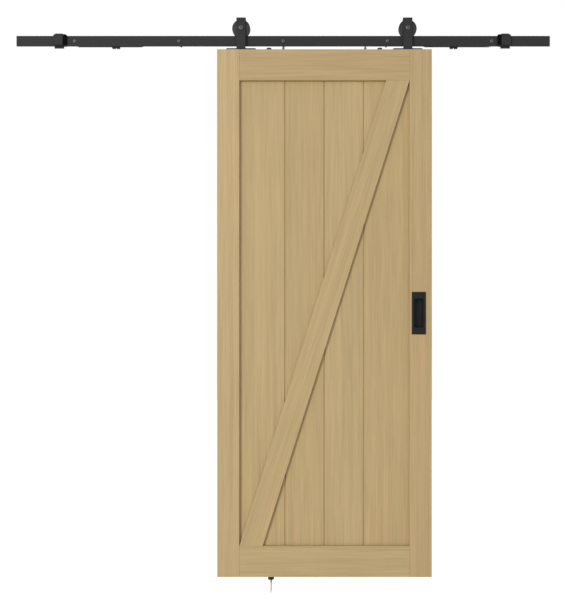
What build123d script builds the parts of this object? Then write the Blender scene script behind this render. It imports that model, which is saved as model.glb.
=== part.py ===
from build123d import *
import math
import os

# A plank door that hangs from a flat steel rail on the wall and slides along it on two grooved wheels.
# Millimetres. The origin is on the wall, behind the rail's middle bolt and at the rail's mid height.
# X runs to the right along the wall, Z up, and -Y out into the room. A depth is a distance from the wall.

# Rail, with its wall spacers and wall bolts
rail_length = 2072.0
rail_height = 40.0
rail_thickness = 6.0
rail_edge = 0.8
rail_end_to_bolt = 226.0
bolt_count = 5
bolt_radius = 3.0
bolt_hole_clearance = 1.15
bolt_head_radius = 7.0
bolt_head_height = 3.8
bolt_anchor_length = 40.0
socket_across_flats = 5.0
socket_depth = 2.2
spacer_length = 30.0
spacer_radius = 10.0

# End stops on the rail, with their rubber bumpers
left_stop_inset = 146.0
right_stop_inset = 154.0
bumper_length = 14.0
bumper_inset = 1.2
bumper_round = 3.0
bumper_corner_run = 9.0
bumper_corner_drop = 3.3
stop_length = 36.0
stop_rise = 5.7
stop_front_thickness = 10.0
stop_back_thickness = 6.0
stop_front_cover = 36.5
stop_back_drop = 6.0
stop_corner_run = 9.0
stop_corner_drop = 5.0

# Soft-close housings behind the rail, with their catches
housing_length = 269.0
housing_bolt_gap = 3.0
housing_depth = 20.0
housing_wall = 1.6
housing_lip = 2.2
housing_slot_cut = 6.0
housing_top_drop = 16.0
housing_bottom_rise = 3.5
housing_end_wall = 5.0
housing_taper_length = 27.0
housing_taper_rise = 9.0
left_catch_inset = 101.5
right_catch_inset = 113.5
catch_notch_width = 15.0
catch_hook_width = 31.0
catch_hook_thickness = 7.0
catch_hook_drop = 9.0
catch_lobe_gap = 5.0
catch_finger_width = 8.0
catch_finger_thickness = 2.5
catch_finger_drop = 3.5
catch_hook_bevel = 2.0
catch_root = 1.0
catch_block_height = 9.0
catch_clearance = 0.4

# Door leaf
door_rest_offset = 160.0
door_width = 830.0
door_height = 2040.0
door_thickness = 40.0
door_drop = 17.2
stile_width = 86.0
cross_rail_height = 120.0
board_edge = 1.0
plank_count = 4
plank_pitch = 152.4
plank_thickness = 14.0
plank_bevel = 3.6
panel_groove_depth = 12.0
panel_fit = 0.3
tongue_length = 6.0
tongue_thickness = 5.0
brace_width = 86.0

# Flush pull in the right stile
pull_edge_distance = 50.5
pull_width = 54.0
pull_height = 164.0
pull_plate_thickness = 3.0
pull_plate_edge = 1.0
cup_width = 35.0
cup_height = 112.0
cup_depth = 20.0
cup_wall = 1.6
cup_round = 5.0
pocket_clearance = 0.4

# Hangers and wheels
hanger_edge_distance = 92.0
strap_width = 35.0
strap_thickness = 5.0
strap_bend = 5.0
strap_end_round = 14.0
strap_wheel_gap = 3.0
strap_top_gap = 3.5
strap_end_drop = 17.0
hanger_plate_length = 114.0
hanger_plate_depth = 30.0
hanger_plate_thickness = 5.0
hanger_plate_corner = 6.0
wheel_radius = 34.0
tread_radius = 26.8
wheel_width = 18.0
wheel_groove_clearance = 1.0
wheel_rail_gap = 0.3
axle_radius = 5.0
axle_running_fit = 0.05
axle_strap_fit = 0.3
axle_head_radius = 9.5
axle_head_height = 6.0
axle_socket_across_flats = 6.0
axle_socket_depth = 3.5
axle_nut_across_flats = 16.0
axle_nut_height = 6.0
axle_end_length = 1.5

# Catch pins and anti-jump discs on the door's top edge
pin_from_hanger = 163.0
pin_depth = 19.0
pin_radius = 3.0
pin_spacer_gap = 7.0
pin_collar_radius = 5.0
pin_collar_height = 6.0
disc_from_hanger = 108.0
disc_depth = 37.0
disc_radius = 9.75
disc_rail_gap = 8.5
disc_edge = 2.0
disc_socket_across_flats = 5.0
disc_socket_depth = 4.0

# Floor guide under the door, with its screws and plugs
guide_offset = -47.0
guide_width = 23.5
guide_base_depth = 50.0
guide_base_thickness = 5.0
guide_base_corner = 4.0
guide_door_gap = 5.0
guide_fin_thickness = 6.0
guide_fin_rise = 15.0
guide_fin_root = 2.5
guide_slot_side_gap = 2.0
guide_slot_top_gap = 5.0
guide_screw_spacing = 32.0
guide_screw_radius = 2.5
guide_screw_head_radius = 4.8
guide_screw_length = 40.0
guide_screw_fit = 0.3
guide_screw_head_taper = 45.0
plug_radius = 3.5
plug_length = 34.0
plug_cover = 20.0
plug_fit = 0.1

# Worked out from the sizes above
SIDES = {"left": -1, "right": 1}
bolt_pitch = (rail_length - 2 * rail_end_to_bolt) / (bolt_count - 1)
rail_back = spacer_length
rail_front = rail_back + rail_thickness
mid_depth = rail_back + rail_thickness / 2
rail_top = rail_height / 2
rail_bottom = -rail_height / 2
bolt_hole_radius = bolt_radius + bolt_hole_clearance
door_back = mid_depth - door_thickness / 2
door_front = mid_depth + door_thickness / 2
door_top = rail_bottom - door_drop
door_bottom = door_top - door_height
door_mid_height = (door_top + door_bottom) / 2
hanger_offset = door_width / 2 - hanger_edge_distance
pin_offset = hanger_offset - pin_from_hanger
disc_offset = hanger_offset - disc_from_hanger
opening_width = door_width - 2 * stile_width
opening_height = door_height - 2 * cross_rail_height
panel_groove_width = plank_thickness + 2 * panel_fit
wheel_height = rail_top + wheel_rail_gap + tread_radius
strap_inner = wheel_width / 2 + strap_wheel_gap
strap_outer = strap_inner + strap_thickness
strap_top = wheel_height + wheel_radius + strap_top_gap + strap_thickness
strap_end = wheel_height - strap_end_drop
plate_top = door_top + hanger_plate_thickness
floor_level = door_bottom - guide_door_gap - guide_base_thickness
slot_width = guide_fin_thickness + 2 * guide_slot_side_gap
slot_height = guide_fin_rise + guide_slot_top_gap


def facing_room(x=0.0, depth=0.0, height=0.0):
    """A plane parallel to the wall, at a depth from it, whose normal points into the room."""
    return Plane(origin=(x, -depth, height), x_dir=(1, 0, 0), z_dir=(0, -1, 0))


def facing_up(x=0.0, depth=0.0, height=0.0):
    """A level plane whose normal points up."""
    return Plane(origin=(x, -depth, height), x_dir=(1, 0, 0), z_dir=(0, 0, 1))


def side_on(x=0.0):
    """A plane across the rail, whose first direction runs into the room and whose normal points left."""
    return Plane(origin=(x, 0, 0), x_dir=(0, -1, 0), z_dir=(-1, 0, 0))


def save(piece, name):
    """Label a finished piece and write its STEP file."""
    piece.part.label = name
    export_step(piece.part, f"parts/{name}.step")


def hexagon(across_flats):
    """A hexagon given by the distance across its flats."""
    RegularPolygon(across_flats / 2, 6, major_radius=False)


def dome_middle(rim, crown):
    """The middle point of a domed head's arc from its rim to its crown, for an arc level at the crown."""
    rise = crown[0] - rim.X
    reach = rim.Y - crown[1]
    sphere = (reach**2 + rise**2) / (2 * rise)
    half_turn = math.asin(reach / sphere) / 2
    return (crown[0] - sphere * (1 - math.cos(half_turn)), crown[1] + sphere * math.sin(half_turn))


os.makedirs("parts", exist_ok=True)

# Rail: a flat bar on edge, drilled for the wall bolts
with BuildPart() as rail:
    with BuildSketch(facing_room(depth=rail_back)):
        Rectangle(rail_length, rail_height)
        with GridLocations(bolt_pitch, bolt_pitch, bolt_count, 1):
            Circle(bolt_hole_radius, mode=Mode.SUBTRACT)
    extrude(amount=rail_thickness)
    chamfer(rail.edges().filter_by(Axis.X), rail_edge)
save(rail, "rail")

# Wall spacers: a row of tubes between the wall and the rail, one behind each hole
with BuildPart() as wall_spacers:
    with BuildSketch(facing_room()):
        with GridLocations(bolt_pitch, bolt_pitch, bolt_count, 1):
            Circle(spacer_radius)
            Circle(bolt_hole_radius, mode=Mode.SUBTRACT)
    extrude(amount=spacer_length)
save(wall_spacers, "wall_spacers")

# Wall bolts: a low domed head and a shank of the thread's core size through rail and spacer into the wall
with BuildPart() as wall_bolt:
    with BuildSketch(side_on()):
        with BuildLine():
            seat = Line((rail_front, bolt_radius), (rail_front, bolt_head_radius))
            crown = (rail_front + bolt_head_height, 0)
            ThreePointArc(seat @ 1, dome_middle(seat @ 1, crown), crown)
            Polyline(
                crown,
                (-bolt_anchor_length, 0),
                (-bolt_anchor_length, bolt_radius),
                seat @ 0,
            )
        make_face()
    revolve(axis=Axis.Y)
    with BuildSketch(facing_room(0, rail_front + bolt_head_height)):
        hexagon(socket_across_flats)
    extrude(amount=-socket_depth, mode=Mode.SUBTRACT)
with BuildPart() as wall_bolts:
    with GridLocations(bolt_pitch, bolt_pitch, bolt_count, 1):
        add(wall_bolt.part)
save(wall_bolts, "wall_bolts")


def stop_outline(inset):
    """Side view of a stop or bumper: a front cheek, a bridge over the rail and a tail behind it."""
    front = rail_front + stop_front_thickness - inset
    back = rail_back - stop_back_thickness + inset
    top = rail_top + stop_rise - inset
    cheek_bottom = rail_top - stop_front_cover + inset
    tail_bottom = rail_bottom - stop_back_drop + inset
    return [
        (front, cheek_bottom),
        (front, top),
        (back, top),
        (back, tail_bottom),
        (rail_back, tail_bottom),
        (rail_back, rail_top),
        (rail_front, rail_top),
        (rail_front, cheek_bottom),
    ]


# End stops: each hooks over the rail, and carries a rubber bumper on the side that the wheel meets
for side, direction in SIDES.items():
    stop_inset = left_stop_inset if direction < 0 else right_stop_inset
    stop_x = direction * (rail_length / 2 - stop_inset - stop_length / 2)
    bumper_x = stop_x - direction * (stop_length + bumper_length) / 2

    with BuildPart() as stop:
        with BuildSketch(side_on(stop_x)):
            with BuildLine():
                Polyline(*stop_outline(0), close=True)
            make_face()
        extrude(amount=stop_length / 2, both=True)
        with BuildSketch(facing_room(stop_x + direction * stop_length / 2, 0, rail_top + stop_rise)):
            with BuildLine():
                Polyline((0, 0), (-direction * stop_corner_run, 0), (0, -stop_corner_drop), close=True)
            make_face()
        extrude(amount=rail_front + stop_front_thickness, mode=Mode.SUBTRACT)
    save(stop, f"{side}_stop")

    with BuildPart() as bumper:
        with BuildSketch(side_on(bumper_x)):
            with BuildLine():
                Polyline(*stop_outline(bumper_inset), close=True)
            make_face()
        extrude(amount=bumper_length / 2, both=True)
        meeting_face = bumper.faces().sort_by(Axis.X)[-1 if direction < 0 else 0]
        front_edge = meeting_face.edges().filter_by(Axis.Z).sort_by(Axis.Y)[0]
        fillet(front_edge, bumper_round)
        meeting_x = bumper_x - direction * bumper_length / 2
        with BuildSketch(facing_room(meeting_x, 0, rail_top + stop_rise - bumper_inset)):
            with BuildLine():
                Polyline((0, 0), (direction * bumper_corner_run, 0), (0, -bumper_corner_drop), close=True)
            make_face()
        extrude(amount=rail_front + stop_front_thickness, mode=Mode.SUBTRACT)
    save(bumper, f"{side}_bumper")

# Soft-close housings: slotted channels on the rail's back, with a lower lip cut away where the pin enters
housing_back = rail_back - housing_depth
housing_top = rail_top - housing_top_drop
housing_bottom = rail_bottom + housing_bottom_rise
housing_outer_end = (bolt_count - 1) / 2 * bolt_pitch - spacer_radius - housing_bolt_gap
housing_inner_end = housing_outer_end - housing_length
housing_mid_depth = rail_back - housing_depth / 2
housing_mid_height = (housing_top + housing_bottom) / 2
for side, direction in SIDES.items():
    with BuildPart() as housing:
        with BuildSketch(side_on(direction * housing_outer_end)):
            with Locations((housing_mid_depth, housing_mid_height)):
                Rectangle(housing_depth, housing_top - housing_bottom)
        extrude(amount=direction * housing_length)
        with BuildSketch(side_on(direction * (housing_outer_end - housing_end_wall))):
            with Locations((housing_mid_depth, housing_mid_height)):
                Rectangle(
                    housing_depth - 2 * housing_wall,
                    housing_top - housing_bottom - 2 * housing_wall,
                )
            with Locations((housing_mid_depth, housing_bottom + housing_wall)):
                Rectangle(housing_depth - 2 * housing_wall - 2 * housing_lip, housing_slot_cut)
        extrude(amount=direction * housing_length, mode=Mode.SUBTRACT)
        with BuildSketch(facing_room(direction * housing_inner_end, housing_back)):
            with BuildLine():
                Polyline(
                    (0, housing_bottom),
                    (direction * housing_taper_length, housing_bottom),
                    (0, housing_bottom + housing_taper_rise),
                    close=True,
                )
            make_face()
        extrude(amount=housing_depth, mode=Mode.SUBTRACT)
    save(housing, f"{side}_damper_housing")

    # Catch: a block that runs in the channel, a two-lobed hook and a side finger that stands beside the pin
    catch_inset = left_catch_inset if direction < 0 else right_catch_inset
    notch_x = direction * (housing_inner_end + catch_inset)
    hook_x = notch_x + direction * (catch_notch_width + catch_hook_width) / 2
    finger_x = notch_x - direction * (catch_notch_width + catch_finger_width) / 2
    block_bottom = housing_bottom + housing_wall + catch_clearance
    hook_bottom = housing_bottom - catch_hook_drop
    block_depth = housing_depth - 2 * housing_wall - 2 * catch_clearance
    slot_front = rail_back - housing_wall - housing_lip - catch_clearance
    with BuildPart() as catch:
        block_length = abs(hook_x - finger_x) + (catch_hook_width + catch_finger_width) / 2
        block_x = (hook_x + finger_x) / 2 + direction * (catch_hook_width - catch_finger_width) / 4
        with BuildSketch(facing_up(block_x, housing_mid_depth, block_bottom)):
            Rectangle(block_length, block_depth)
        extrude(amount=catch_block_height)
        with BuildSketch(facing_room(hook_x, pin_depth - catch_hook_thickness / 2)):
            half_hook = catch_hook_width / 2
            half_gap = catch_lobe_gap / 2
            with BuildLine():
                Polyline(
                    (-half_hook, block_bottom + catch_root),
                    (-half_hook, hook_bottom + catch_hook_bevel),
                    (-half_hook + catch_hook_bevel, hook_bottom),
                    (-half_gap, hook_bottom),
                    (0, hook_bottom + catch_lobe_gap),
                    (half_gap, hook_bottom),
                    (half_hook - catch_hook_bevel, hook_bottom),
                    (half_hook, hook_bottom + catch_hook_bevel),
                    (half_hook, block_bottom + catch_root),
                    close=True,
                )
            make_face()
        extrude(amount=catch_hook_thickness)
        finger_bottom = housing_bottom - catch_finger_drop
        with BuildSketch(facing_up(finger_x, slot_front - catch_finger_thickness / 2, finger_bottom)):
            Rectangle(catch_finger_width, catch_finger_thickness)
        extrude(amount=block_bottom + catch_root - finger_bottom)
    save(catch, f"{side}_damper_catch")

# Floor guide: a screwed base whose fin stands in the groove under the door
base_top = floor_level + guide_base_thickness
with BuildPart() as floor_guide:
    with BuildSketch(facing_up(guide_offset, mid_depth, floor_level)):
        RectangleRounded(guide_width, guide_base_depth, guide_base_corner)
    extrude(amount=guide_base_thickness)
    with BuildSketch(facing_up(guide_offset, mid_depth, base_top)):
        Rectangle(guide_width, guide_fin_thickness)
    fin_top = door_bottom + guide_fin_rise
    extrude(amount=fin_top - base_top)
    root_edges = floor_guide.faces().filter_by_position(Axis.Z, base_top - 0.01, base_top + 0.01)
    root_edges = root_edges.edges().filter_by(Axis.X)
    near_fin = [edge for edge in root_edges if abs(-edge.center().Y - mid_depth) < guide_fin_thickness]
    fillet(near_fin, guide_fin_root)
    with Locations(facing_up(guide_offset, mid_depth, base_top)):
        with GridLocations(guide_screw_spacing, guide_screw_spacing, 1, 2):
            CounterSinkHole(
                guide_screw_radius + guide_screw_fit,
                guide_screw_head_radius,
                counter_sink_angle=2 * guide_screw_head_taper,
            )
save(floor_guide, "floor_guide")

# Guide screws and plugs, one solid each side of the fin in each node
with BuildPart() as guide_screws:
    with BuildSketch(facing_up(guide_offset, mid_depth, base_top)):
        with GridLocations(guide_screw_spacing, guide_screw_spacing, 1, 2):
            Circle(guide_screw_radius)
    extrude(amount=-guide_screw_length)
    with BuildSketch(facing_up(guide_offset, mid_depth, base_top)):
        with GridLocations(guide_screw_spacing, guide_screw_spacing, 1, 2):
            Circle(guide_screw_head_radius - guide_screw_fit)
    head_height = guide_screw_head_radius - guide_screw_fit - guide_screw_radius
    extrude(amount=-head_height, taper=guide_screw_head_taper)
save(guide_screws, "floor_guide_screws")

plug_top = floor_level - plug_cover
screw_reach = plug_top - (base_top - guide_screw_length)
with BuildPart() as guide_plugs:
    with BuildSketch(facing_up(guide_offset, mid_depth, plug_top)):
        with GridLocations(guide_screw_spacing, guide_screw_spacing, 1, 2):
            Circle(plug_radius)
    extrude(amount=-plug_length)
    with BuildSketch(facing_up(guide_offset, mid_depth, plug_top)):
        with GridLocations(guide_screw_spacing, guide_screw_spacing, 1, 2):
            Circle(guide_screw_radius + plug_fit)
    extrude(amount=-(screw_reach + plug_fit), mode=Mode.SUBTRACT)
save(guide_plugs, "floor_guide_plugs")

# Stiles: full-height boards, grooved for the panel and slotted underneath for the guide
door_x = door_rest_offset
for side, direction in SIDES.items():
    stile_x = door_x + direction * (door_width - stile_width) / 2
    inner_x = door_x + direction * opening_width / 2
    with BuildPart() as stile:
        with BuildSketch(facing_up(stile_x, mid_depth, door_bottom)):
            Rectangle(stile_width, door_thickness)
        extrude(amount=door_height)
        chamfer(stile.edges().filter_by(Axis.Z), board_edge)
        with BuildSketch(facing_up(inner_x, mid_depth, door_bottom)):
            Rectangle(2 * panel_groove_depth, panel_groove_width)
        extrude(amount=door_height, mode=Mode.SUBTRACT)
        with BuildSketch(facing_up(stile_x, mid_depth, door_bottom)):
            Rectangle(stile_width, slot_width)
        extrude(amount=slot_height, mode=Mode.SUBTRACT)
        if direction > 0:
            pull_x = door_x + door_width / 2 - pull_edge_distance
            with BuildSketch(facing_room(pull_x, door_front, door_mid_height)):
                RectangleRounded(
                    cup_width + 2 * cup_wall + 2 * pocket_clearance,
                    cup_height + 2 * cup_wall + 2 * pocket_clearance,
                    cup_round,
                )
            extrude(amount=-(cup_depth + pocket_clearance), mode=Mode.SUBTRACT)
    save(stile, f"{side}_stile")

# Top and bottom rails: they stand between the stiles, with stub tenons in the stiles' grooves
tenon_length = opening_width + 2 * (panel_groove_depth - panel_fit)
for name, edge_height, inward in (("top_rail", door_top, -1), ("bottom_rail", door_bottom, 1)):
    inner_height = edge_height + inward * cross_rail_height
    rail_mid = edge_height + inward * cross_rail_height / 2
    with BuildPart() as cross_rail:
        with BuildSketch(facing_room(door_x, door_back, rail_mid)):
            Rectangle(opening_width, cross_rail_height)
        extrude(amount=door_thickness)
        chamfer(cross_rail.edges().filter_by(Axis.X), board_edge)
        with BuildSketch(facing_room(door_x, mid_depth - plank_thickness / 2, rail_mid)):
            Rectangle(tenon_length, cross_rail_height)
        extrude(amount=plank_thickness)
        with BuildSketch(facing_up(door_x, mid_depth, inner_height)):
            Rectangle(tenon_length, panel_groove_width)
        extrude(amount=panel_groove_depth, both=True, mode=Mode.SUBTRACT)
        if inward > 0:
            with BuildSketch(facing_up(door_x, mid_depth, door_bottom)):
                Rectangle(tenon_length, slot_width)
            extrude(amount=slot_height, mode=Mode.SUBTRACT)
    save(cross_rail, name)

# Planks: tongue and groove boards with a bevelled joint, let into the frame's grooves all round.
# The inner planks are one pitch wide, and the outer two are wider and fill the rest of the opening.
plank_joints = [door_x + (index - plank_count / 2) * plank_pitch for index in range(1, plank_count)]
plank_sides = [door_x - opening_width / 2, *plank_joints, door_x + opening_width / 2]
plank_height = opening_height + 2 * (panel_groove_depth - panel_fit)
panel_reach = panel_groove_depth - panel_fit
for index in range(plank_count):
    left_x, right_x = plank_sides[index : index + 2]
    first = index == 0
    last = index == plank_count - 1
    with BuildPart() as plank:
        start_x = left_x - panel_reach if first else left_x
        end_x = right_x + panel_reach if last else right_x
        plank_bottom = door_mid_height - plank_height / 2
        with BuildSketch(facing_up((start_x + end_x) / 2, mid_depth, plank_bottom)):
            Rectangle(end_x - start_x, plank_thickness)
        extrude(amount=plank_height)
        upright = plank.edges().filter_by(Axis.Z).group_by(Axis.X)
        if not first:
            chamfer(upright[0], plank_bevel)
        if not last:
            chamfer(upright[-1], plank_bevel)
            with BuildSketch(facing_up(right_x + tongue_length / 2, mid_depth, plank_bottom)):
                Rectangle(tongue_length, tongue_thickness)
            extrude(amount=plank_height)
        if not first:
            with BuildSketch(facing_up(left_x, mid_depth, plank_bottom)):
                Rectangle(2 * (tongue_length + panel_fit), tongue_thickness + 2 * panel_fit)
            extrude(amount=plank_height, mode=Mode.SUBTRACT)
    save(plank, f"plank_{index + 1}")

# Braces: a board from corner to corner, flush with the frame, on each side of the planks.
# Its lean from upright is the angle at which its width just fills two corners of the opening.
diagonal = math.hypot(opening_width, opening_height)
brace_lean = math.acos(brace_width / diagonal) - math.atan2(opening_height, opening_width)
brace_cut = brace_width / math.cos(brace_lean)
recess = (door_thickness - plank_thickness) / 2
for name, depth in (("front_brace", door_front - recess), ("back_brace", door_back)):
    with BuildPart() as brace:
        with BuildSketch(facing_room(door_x, depth, door_mid_height)):
            half_width = opening_width / 2
            half_height = opening_height / 2
            with BuildLine():
                Polyline(
                    (-half_width, -half_height),
                    (-half_width + brace_cut, -half_height),
                    (half_width, half_height),
                    (half_width - brace_cut, half_height),
                    close=True,
                )
            make_face()
        extrude(amount=recess)
        room_side = brace.faces().sort_by(Axis.Y)[0 if depth > mid_depth else -1]
        chamfer(room_side.edges().sort_by(SortBy.LENGTH)[-2:], board_edge)
    save(brace, name)

# Flush pull: a plate on the stile's face with a finger cup let into the pocket
with BuildPart() as pull:
    with BuildSketch(facing_room(pull_x, door_front, door_mid_height)):
        Rectangle(pull_width, pull_height)
    extrude(amount=pull_plate_thickness)
    chamfer(pull.faces().sort_by(Axis.Y)[0].outer_wire().edges(), pull_plate_edge)
    with BuildSketch(facing_room(pull_x, door_front, door_mid_height)):
        RectangleRounded(cup_width + 2 * cup_wall, cup_height + 2 * cup_wall, cup_round)
    extrude(amount=-cup_depth)
    with BuildSketch(facing_room(pull_x, door_front + pull_plate_thickness, door_mid_height)):
        RectangleRounded(cup_width, cup_height, cup_round - cup_wall)
    extrude(amount=-(cup_depth + pull_plate_thickness - cup_wall), mode=Mode.SUBTRACT)
save(pull, "pull_handle")


def wheel_outline():
    """Half section of a wheel, radius against depth: flat faces and a straight-sided groove."""
    half_width = wheel_width / 2
    half_tread = rail_thickness / 2 + wheel_groove_clearance
    bore = axle_radius + axle_running_fit
    return [
        (mid_depth - half_width, wheel_height + bore),
        (mid_depth - half_width, wheel_height + wheel_radius),
        (mid_depth - half_tread, wheel_height + wheel_radius),
        (mid_depth - half_tread, wheel_height + tread_radius),
        (mid_depth + half_tread, wheel_height + tread_radius),
        (mid_depth + half_tread, wheel_height + wheel_radius),
        (mid_depth + half_width, wheel_height + wheel_radius),
        (mid_depth + half_width, wheel_height + bore),
    ]


# Hangers: a strap bent over the wheel, one a side
with BuildPart() as hanger:
    with BuildSketch(side_on()):
        with BuildLine():
            over = FilletPolyline(
                (mid_depth + strap_outer, plate_top),
                (mid_depth + strap_outer, strap_top),
                (mid_depth - strap_outer, strap_top),
                (mid_depth - strap_outer, strap_end),
                radius=strap_bend + strap_thickness,
            )
            under = FilletPolyline(
                (mid_depth - strap_inner, strap_end),
                (mid_depth - strap_inner, strap_top - strap_thickness),
                (mid_depth + strap_inner, strap_top - strap_thickness),
                (mid_depth + strap_inner, plate_top),
                radius=strap_bend,
            )
            Line(over @ 1, under @ 0)
            Line(under @ 1, over @ 0)
        make_face()
    extrude(amount=strap_width / 2, both=True)
    back_end_edges = hanger.edges().filter_by(Axis.Y).filter_by_position(
        Axis.Y, strap_inner - mid_depth, strap_outer - mid_depth
    )
    fillet(back_end_edges.sort_by(Axis.Z)[:2], strap_end_round)
    with BuildSketch(facing_room(0, 0, wheel_height)):
        Circle(axle_radius + axle_strap_fit)
    extrude(amount=mid_depth + strap_outer, mode=Mode.SUBTRACT)
with BuildPart() as hangers:
    with Locations((door_x - hanger_offset, 0, 0), (door_x + hanger_offset, 0, 0)):
        add(hanger.part)
save(hangers, "hangers")

# Hanger plates: they carry the straps and lie on the door's top edge
with BuildPart() as hanger_plates:
    plate_depth = mid_depth + strap_outer - hanger_plate_depth / 2
    with BuildSketch(facing_up(door_x, plate_depth, door_top)):
        with GridLocations(2 * hanger_offset, 2 * hanger_offset, 2, 1):
            RectangleRounded(hanger_plate_length, hanger_plate_depth, hanger_plate_corner)
    extrude(amount=hanger_plate_thickness)
save(hanger_plates, "hanger_plates")

# Wheels: one a side, each on its own axle
for side, direction in SIDES.items():
    hanger_x = door_x + direction * hanger_offset
    with BuildPart() as wheel:
        with BuildSketch(side_on(hanger_x)):
            with BuildLine():
                Polyline(*wheel_outline(), close=True)
            make_face()
        revolve(axis=Axis((hanger_x, 0, wheel_height), (0, 1, 0)))
    save(wheel, f"{side}_wheel")

# Axle bolts: a domed head before each strap, a shank through strap and wheel, and a nut behind
with BuildPart() as axle_bolt:
    strap_front = mid_depth + strap_outer
    strap_back = mid_depth - strap_outer
    axle_end = strap_back - axle_nut_height - axle_end_length
    with BuildSketch(side_on()):
        with BuildLine():
            seat = Line((strap_front, wheel_height), (strap_front, wheel_height + axle_head_radius))
            crown = (strap_front + axle_head_height, wheel_height)
            dome = ThreePointArc(seat @ 1, dome_middle(seat @ 1, crown), crown)
            Line(dome @ 1, seat @ 0)
        make_face()
    revolve(axis=Axis((0, 0, wheel_height), (0, 1, 0)))
    with BuildSketch(facing_room(0, strap_front, wheel_height)):
        Circle(axle_radius)
    extrude(amount=axle_end - strap_front)
    with BuildSketch(facing_room(0, strap_back, wheel_height)):
        hexagon(axle_nut_across_flats)
    extrude(amount=-axle_nut_height)
    with BuildSketch(facing_room(0, strap_front + axle_head_height, wheel_height)):
        hexagon(axle_socket_across_flats)
    extrude(amount=-axle_socket_depth, mode=Mode.SUBTRACT)
with BuildPart() as axle_bolts:
    with Locations((door_x - hanger_offset, 0, 0), (door_x + hanger_offset, 0, 0)):
        add(axle_bolt.part)
save(axle_bolts, "axle_bolts")

# Catch pins: a collared pin on the door's top edge for each soft-close catch
pin_top = -spacer_radius - pin_spacer_gap
with BuildPart() as catch_pins:
    with BuildSketch(facing_up(door_x, pin_depth, door_top)):
        with GridLocations(2 * pin_offset, 2 * pin_offset, 2, 1):
            Circle(pin_collar_radius)
    extrude(amount=pin_collar_height)
    with BuildSketch(facing_up(door_x, pin_depth, door_top)):
        with GridLocations(2 * pin_offset, 2 * pin_offset, 2, 1):
            Circle(pin_radius)
    extrude(amount=pin_top - door_top)
save(catch_pins, "catch_pins")

# Anti-jump discs: round blocks that stand on the door's top edge just under the rail
disc_top = rail_bottom - disc_rail_gap
with BuildPart() as jump_discs:
    with BuildSketch(facing_up(door_x, disc_depth, door_top)):
        with GridLocations(2 * disc_offset, 2 * disc_offset, 2, 1):
            Circle(disc_radius)
    extrude(amount=disc_top - door_top)
    chamfer(jump_discs.faces().group_by(Axis.Z)[-1].edges(), disc_edge)
    with BuildSketch(facing_up(door_x, disc_depth, disc_top)):
        with GridLocations(2 * disc_offset, 2 * disc_offset, 2, 1):
            hexagon(disc_socket_across_flats)
    extrude(amount=-disc_socket_depth, mode=Mode.SUBTRACT)
save(jump_discs, "jump_discs")
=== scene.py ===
"""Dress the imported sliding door: planed pine, powder-coated steel, nylon, rubber and cast metal.

Sizes in the classes are millimetres, and MM turns them into metres where a mesh is made. The studio's
own are metres.
The frame is the CAD model's own: X along the wall, -Y out into the room, Z up from the rail's middle.
"""

import logging
import math
from collections.abc import Sequence
from dataclasses import dataclass
from enum import Enum
from typing import Any

import bmesh
import bpy
import numpy as np
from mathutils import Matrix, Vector


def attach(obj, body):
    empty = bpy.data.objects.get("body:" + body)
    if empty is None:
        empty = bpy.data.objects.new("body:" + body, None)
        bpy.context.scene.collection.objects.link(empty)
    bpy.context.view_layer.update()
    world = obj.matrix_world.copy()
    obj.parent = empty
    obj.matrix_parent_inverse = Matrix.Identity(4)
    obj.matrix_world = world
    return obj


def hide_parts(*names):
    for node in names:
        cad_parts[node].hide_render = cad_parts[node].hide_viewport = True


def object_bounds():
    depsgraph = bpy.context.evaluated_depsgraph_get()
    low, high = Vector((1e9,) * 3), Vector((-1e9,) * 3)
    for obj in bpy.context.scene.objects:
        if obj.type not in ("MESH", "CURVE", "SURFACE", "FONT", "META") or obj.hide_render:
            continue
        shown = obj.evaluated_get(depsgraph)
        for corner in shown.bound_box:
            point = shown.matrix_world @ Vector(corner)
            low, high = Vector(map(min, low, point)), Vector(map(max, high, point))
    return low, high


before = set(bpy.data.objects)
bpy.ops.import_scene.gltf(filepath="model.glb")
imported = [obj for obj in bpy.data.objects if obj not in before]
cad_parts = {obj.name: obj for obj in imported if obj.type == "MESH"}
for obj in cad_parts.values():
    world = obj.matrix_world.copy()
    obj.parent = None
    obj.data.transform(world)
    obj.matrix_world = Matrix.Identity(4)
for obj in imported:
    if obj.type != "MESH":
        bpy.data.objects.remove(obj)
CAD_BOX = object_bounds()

Pair = tuple[float, float]
Triple = tuple[float, float, float]

MM = 0.001
SIDES = {"left": -1, "right": 1}
# A Mix node's colour sockets have the names of its number sockets, so they are taken by their place
MIX_AMOUNT, MIX_FIRST, MIX_SECOND, MIX_COLOUR = 0, 6, 7, 2
log = logging.getLogger("sliding_door")


# Small helpers


def linear(colour: str, gain: float = 1.0) -> tuple[float, float, float, float]:
    """Turn an sRGB hex colour into the linear values that a shader reads, by the sRGB curve.

    Args:
        colour: six hex digits after a hash.
        gain: factor on the linear values, for a lighter or darker shade of the same colour.

    Returns:
        Linear red, green and blue, and an alpha of 1.
    """
    channels = [int(colour[place : place + 2], 16) / 255 for place in (1, 3, 5)]
    curve = [c / 12.92 if c <= 0.04045 else ((c + 0.055) / 1.055) ** 2.4 for c in channels]
    return (*[gain * value for value in curve], 1.0)


def feed(tree: bpy.types.NodeTree, node: bpy.types.Node, sockets: dict) -> None:
    """Set a node's inputs.

    Args:
        tree: the node tree that holds the node.
        node: the node whose inputs are set.
        sockets: input name or place to a value, or to the output socket that feeds it.
    """
    for name, value in sockets.items():
        if isinstance(value, bpy.types.NodeSocket):
            tree.links.new(value, node.inputs[name])
        else:
            node.inputs[name].default_value = value


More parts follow.
